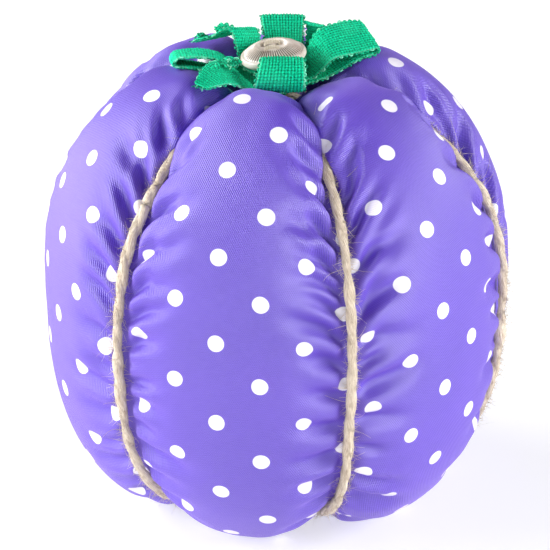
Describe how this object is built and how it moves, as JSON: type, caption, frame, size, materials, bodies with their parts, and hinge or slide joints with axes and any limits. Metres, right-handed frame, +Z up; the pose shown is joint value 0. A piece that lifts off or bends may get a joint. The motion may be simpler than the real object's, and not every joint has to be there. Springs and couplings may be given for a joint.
{
  "type": "pin cushion",
  "caption": "Pumpkin-shaped stuffed pin cushion, dotted fabric cinched into lobes by twine, with ribbon leaves and a sewn button on top.",
  "frame": {"origin": "on the base plane that the lobes rest on, below the middle of the body", "axes": "+Z up along the pumpkin's axis, +X to the right and +Y to the back when seen from the front lobe"},
  "size_m": [0.099, 0.0996, 0.1043],
  "materials": {
    "dotted_satin": "satin-faced twill with white dots, soft sheen",
    "fibre": "loose polyester fibre",
    "seam_thread": "sewing thread",
    "jute": "twisted natural jute, hairy",
    "ribbon": "looped woven ribbon with small edge loops",
    "pearl_plastic": "pale pearl with fine radial ridges",
    "cotton_thread": "matt cotton thread"
  },
  "bodies": {
    "root": {"fabric_cover": "dotted_satin", "fibre_fill": "fibre", "side_seam_thread": "seam_thread", "top_gathering_thread": "seam_thread", "base_gathering_thread": "seam_thread", "twine_wrap_left": "jute", "twine_wrap_centre": "jute", "twine_wrap_right": "jute", "twine_knot": "jute", "ribbon_lower_strip": "ribbon", "ribbon_side_loops": "ribbon", "ribbon_front_back_loops": "ribbon", "ribbon_back_left_tail": "ribbon", "button": "pearl_plastic", "button_thread": "cotton_thread"}
  },
  "joints": []
}
